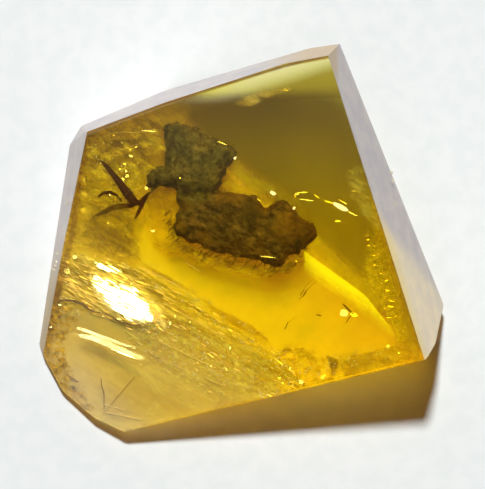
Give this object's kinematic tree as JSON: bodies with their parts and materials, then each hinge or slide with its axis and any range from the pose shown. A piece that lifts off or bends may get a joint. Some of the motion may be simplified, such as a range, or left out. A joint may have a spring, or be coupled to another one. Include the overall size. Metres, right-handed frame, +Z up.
{
  "type": "insect in amber",
  "caption": "Small ground wedge of clear golden amber with a dark insect sealed inside, resting on a flat base.",
  "frame": {"origin": "centre of the block's outer box, on the flat base", "axes": "+Z up from the flat base; the polished top rises towards +X and +Y; +Y points away from the viewer"},
  "size_m": [0.0207, 0.0194, 0.007],
  "materials": {
    "amber": "polished top, satin ground sides, clear golden resin",
    "insect": "dark brown chitin, dull, with greenish grey mottling"
  },
  "bodies": {
    "root": {"amber_lower": "amber", "amber_upper": "amber", "insect": "insect"}
  },
  "joints": []
}
